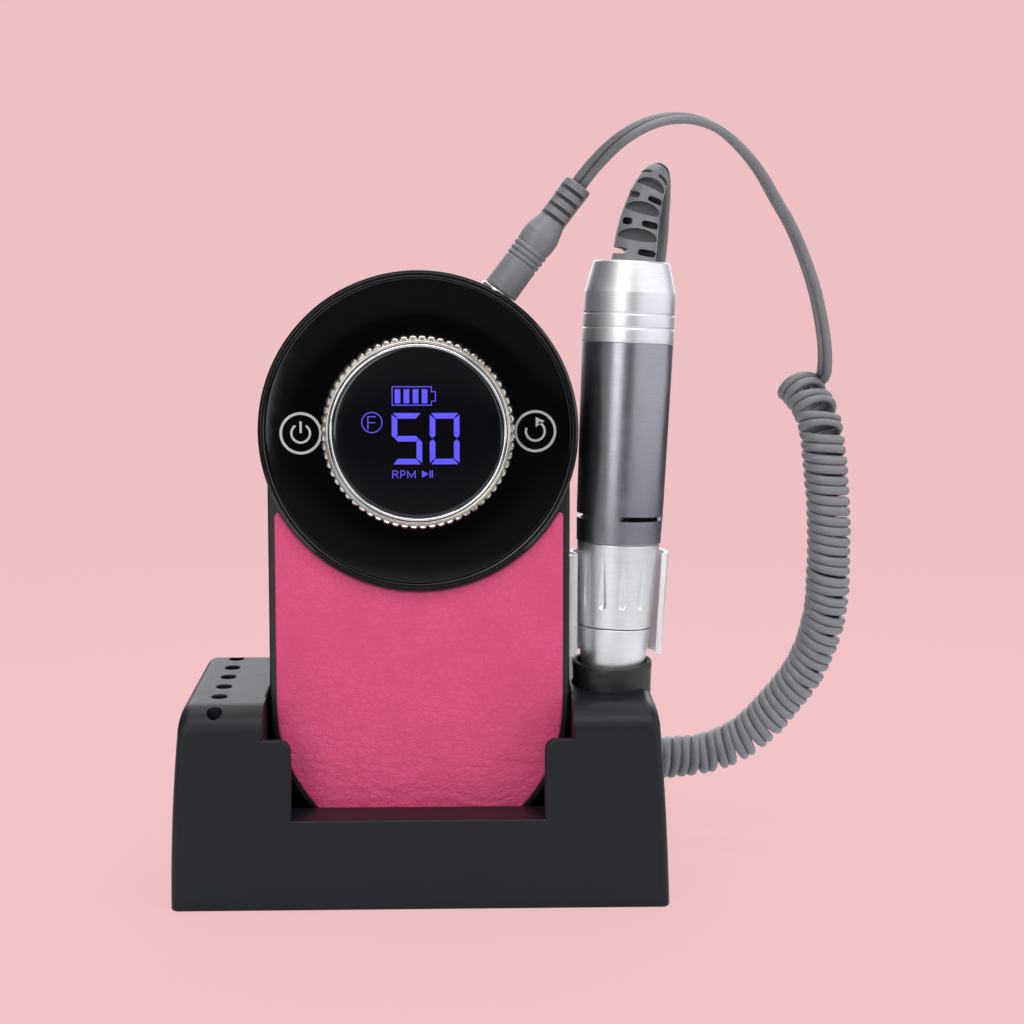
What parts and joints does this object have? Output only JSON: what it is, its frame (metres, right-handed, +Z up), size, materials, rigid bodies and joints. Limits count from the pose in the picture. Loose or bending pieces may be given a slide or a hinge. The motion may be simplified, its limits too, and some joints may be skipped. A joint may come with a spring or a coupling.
{
  "type": "electric nail drill",
  "caption": "Desktop nail drill: a round-headed control unit with a dial, a display and a leather front stands in a dock beside its clipped handpiece, which a coiled cord joins to it.",
  "frame": {"origin": "on the table under the middle of the dock and handpiece, between the bottoms of the feet", "axes": "+Z up, -Y towards the user and the display, +X to the user's right, towards the handpiece"},
  "size_m": [0.1974, 0.0782, 0.2194],
  "materials": {
    "dock": "matt moulded charcoal plastic",
    "rubber": "matt black rubber",
    "steel": "plain steel",
    "satin_black": "satin black plastic",
    "gloss_black": "polished black plastic",
    "leather": "pink grained artificial leather",
    "chrome": "bright chrome plating",
    "lens": "dark polished display window",
    "nylon": "natural nylon",
    "board": "green circuit board",
    "cell": "blue wrapped cell",
    "clear": "clear plastic",
    "cord": "grey flexible plastic",
    "silver": "satin turned aluminium",
    "gunmetal": "satin dark anodised aluminium",
    "brass": "turned brass"
  },
  "bodies": {
    "dock": {"dock_shell": "dock", "base_plate": "satin_black", "foot_front_left": "rubber", "foot_front_right": "rubber", "foot_back_left": "rubber", "foot_back_right": "rubber", "base_screw_1": "steel", "base_screw_2": "steel", "base_screw_3": "steel", "base_screw_4": "steel", "handpiece_collar": "satin_black"},
    "control_unit": {"front_housing": "satin_black", "rear_housing": "satin_black", "housing_screw_lower_left": "steel", "housing_screw_lower_right": "steel", "housing_screw_upper_left": "steel", "housing_screw_upper_right": "steel", "head_bezel": "satin_black", "face_plate": "gloss_black", "leather_panel": "leather", "knob_bearing": "nylon", "main_board": "board", "push_switch": "steel", "encoder_sensor": "satin_black", "battery_cell_left": "cell", "battery_cell_right": "cell", "charge_board": "board", "charging_socket": "steel", "handpiece_jack": "satin_black", "jack_nut": "chrome", "handpiece_clip": "clear", "coil_cord": "cord"},
    "speed_knob": {"speed_knob": "chrome", "encoder_ring": "nylon"},
    "display_button": {"display_lens": "lens", "display_bezel": "chrome", "display_carrier": "satin_black", "display_module": "lens"},
    "cord_plug": {"plug_overmold": "cord", "plug_pin": "steel", "lead_upper": "cord"},
    "handpiece": {"end_cap": "silver", "body_sleeve": "gunmetal", "motor_can": "steel", "spindle_housing": "steel", "nose_cone": "silver", "front_bearing": "steel", "rear_bearing": "steel", "strain_relief": "cord", "lead_lower": "cord"},
    "chuck_sleeve": {"chuck_sleeve": "silver"},
    "lock_cam": {"lock_cam": "brass"},
    "spindle": {"spindle": "steel", "collet": "steel", "collet_spring": "steel", "drive_coupling": "brass", "motor_shaft": "steel"}
  },
  "joints": [
    {"name": "unit_lift", "type": "slide", "parent": "dock", "child": "control_unit", "axis": [0, 0, 1], "range_m": [0, 0.12]},
    {"name": "knob_turn", "type": "hinge", "parent": "control_unit", "child": "speed_knob", "pos_m": [-0.0014, -0.0239, 0.131], "axis": [0, -1, 0], "continuous": true},
    {"name": "display_press", "type": "slide", "parent": "control_unit", "child": "display_button", "axis": [0, 1, 0], "range_m": [0, 0.0006], "stiffness_N_per_m": 800},
    {"name": "plug_pull", "type": "slide", "parent": "control_unit", "child": "cord_plug", "axis": [0.5962, 0, 0.8028], "range_m": [0, 0.012], "deforming": ["lead_upper"]},
    {"name": "handpiece_lift", "type": "slide", "parent": "control_unit", "child": "handpiece", "axis": [0.0414, 0, 0.9991], "range_m": [0, 0.021], "deforming": ["lead_lower"]},
    {"name": "chuck_twist", "type": "hinge", "parent": "handpiece", "child": "chuck_sleeve", "pos_m": [0.05463, -0.0025, 0.08497], "axis": [0.0414, 0, 0.9991], "range_deg": [0, 60]},
    {"name": "cam_slide", "type": "slide", "parent": "handpiece", "child": "lock_cam", "axis": [0.0414, 0, 0.9991], "range_m": [0, 0.00121]},
    {"name": "spindle_turn", "type": "hinge", "parent": "handpiece", "child": "spindle", "pos_m": [0.0531, -0.0025, 0.048], "axis": [0.0414, 0, 0.9991], "continuous": true}
  ],
  "couplings": [
    {"joint": "cam_slide", "follows": "chuck_twist", "m_per_rad": 0.0011459}
  ]
}
